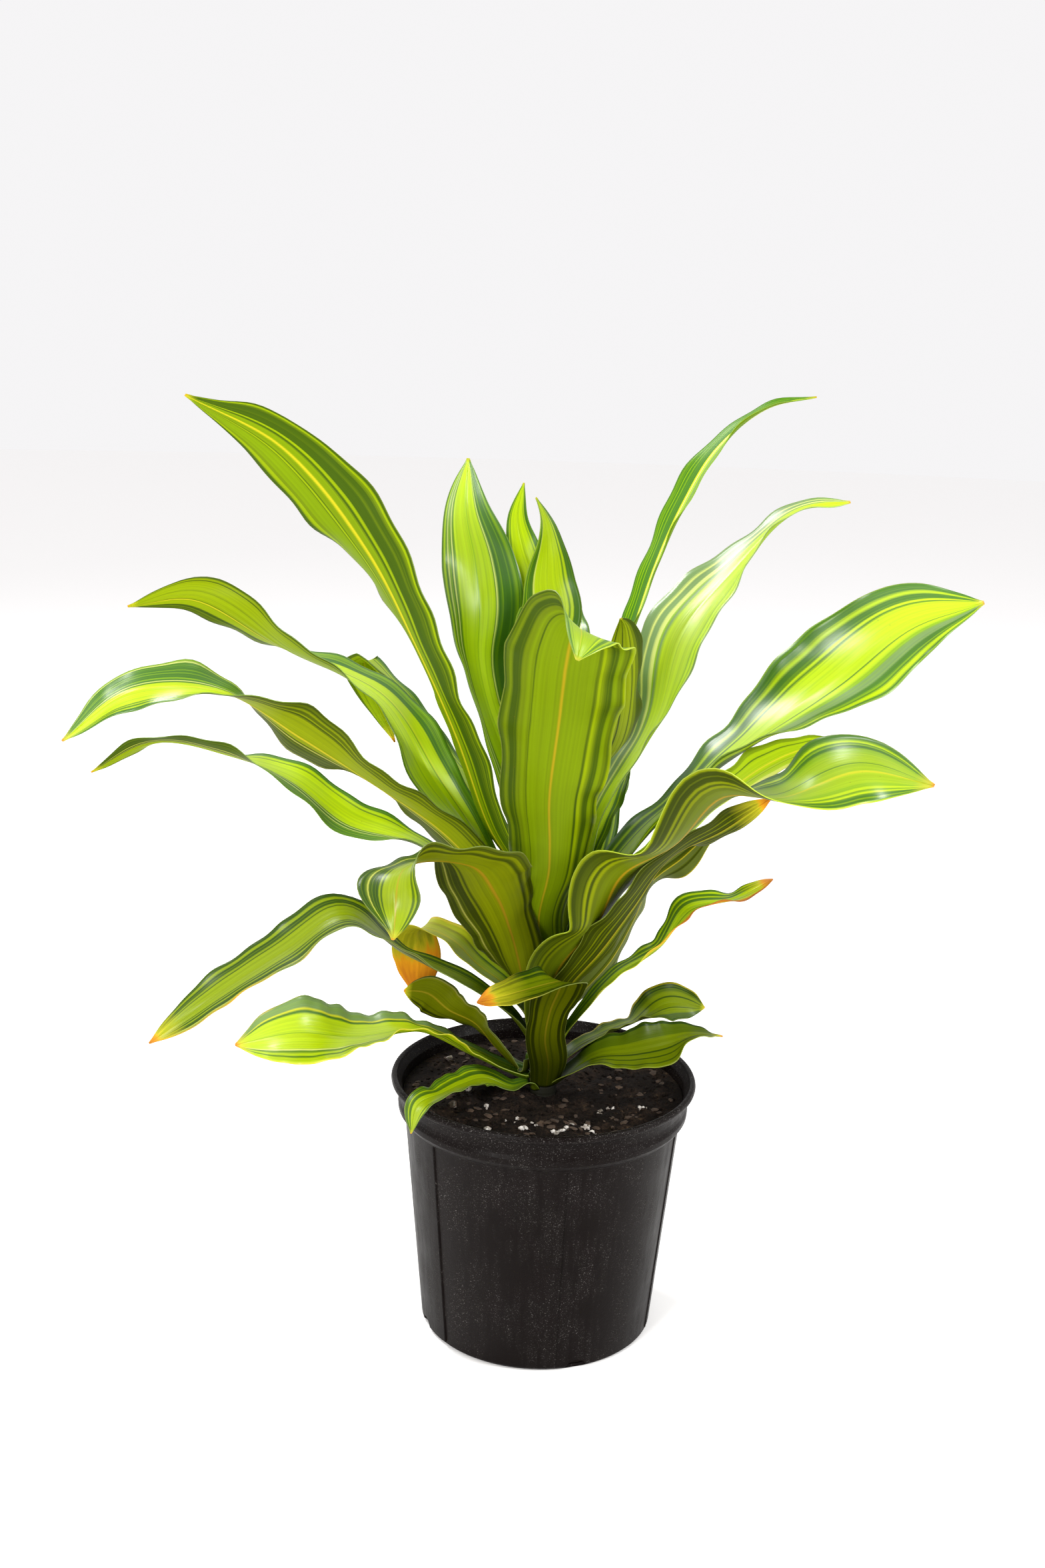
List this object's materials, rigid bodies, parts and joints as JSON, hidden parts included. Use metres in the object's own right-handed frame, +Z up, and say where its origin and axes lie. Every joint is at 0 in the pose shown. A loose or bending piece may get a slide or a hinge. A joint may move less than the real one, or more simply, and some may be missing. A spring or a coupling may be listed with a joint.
{
  "type": "potted dracaena",
  "caption": "Potted dracaena: a ridged black nursery pot of soil and a short stem with long arching striped leaves; stands on its flat base.",
  "frame": {"origin": "centre of the pot's flat base, on the surface it stands on", "axes": "+Z up along the pot's axis, -Y towards the side the picture was taken from, +X to its right"},
  "size_m": [0.8059, 0.4982, 0.8557],
  "materials": {
    "pot_plastic": "satin black, dusty",
    "potting_mix": "rough, crumbly",
    "stem_bark": "matte with leaf scars",
    "leaf_young": "glossy lime with dark green stripes",
    "leaf_older": "satin olive green with dark stripes",
    "leaf_dry_end": "satin olive with dry brown ends"
  },
  "bodies": {
    "root": {"pot": "pot_plastic", "soil": "potting_mix", "stem": "stem_bark", "leaf_left_tall": "leaf_young", "leaf_left_curled": "leaf_young", "leaf_left_upper": "leaf_young", "leaf_left_middle": "leaf_young", "leaf_left_narrow": "leaf_older", "leaf_left_dry_end": "leaf_dry_end", "leaf_left_drooping": "leaf_older", "leaf_left_short": "leaf_older", "leaf_left_low": "leaf_older", "leaf_front_small": "leaf_older", "leaf_front_folded": "leaf_dry_end", "leaf_front_wide": "leaf_older", "leaf_front_tall": "leaf_young", "leaf_front_right": "leaf_young", "leaf_centre_glossy": "leaf_young", "leaf_centre_rear": "leaf_young", "leaf_centre_young": "leaf_young", "leaf_right_slender": "leaf_young", "leaf_right_tall": "leaf_young", "leaf_right_broad": "leaf_young", "leaf_right_twisted": "leaf_young", "leaf_right_torn": "leaf_dry_end", "leaf_right_striped": "leaf_older", "leaf_right_inner": "leaf_older", "leaf_right_rolled": "leaf_dry_end", "leaf_right_blunt": "leaf_older", "leaf_right_low": "leaf_older", "leaf_rear_low": "leaf_older", "leaf_rear_right": "leaf_young", "leaf_rear_left": "leaf_young", "leaf_rear_tall": "leaf_young", "leaf_rear_side": "leaf_young"}
  },
  "joints": []
}
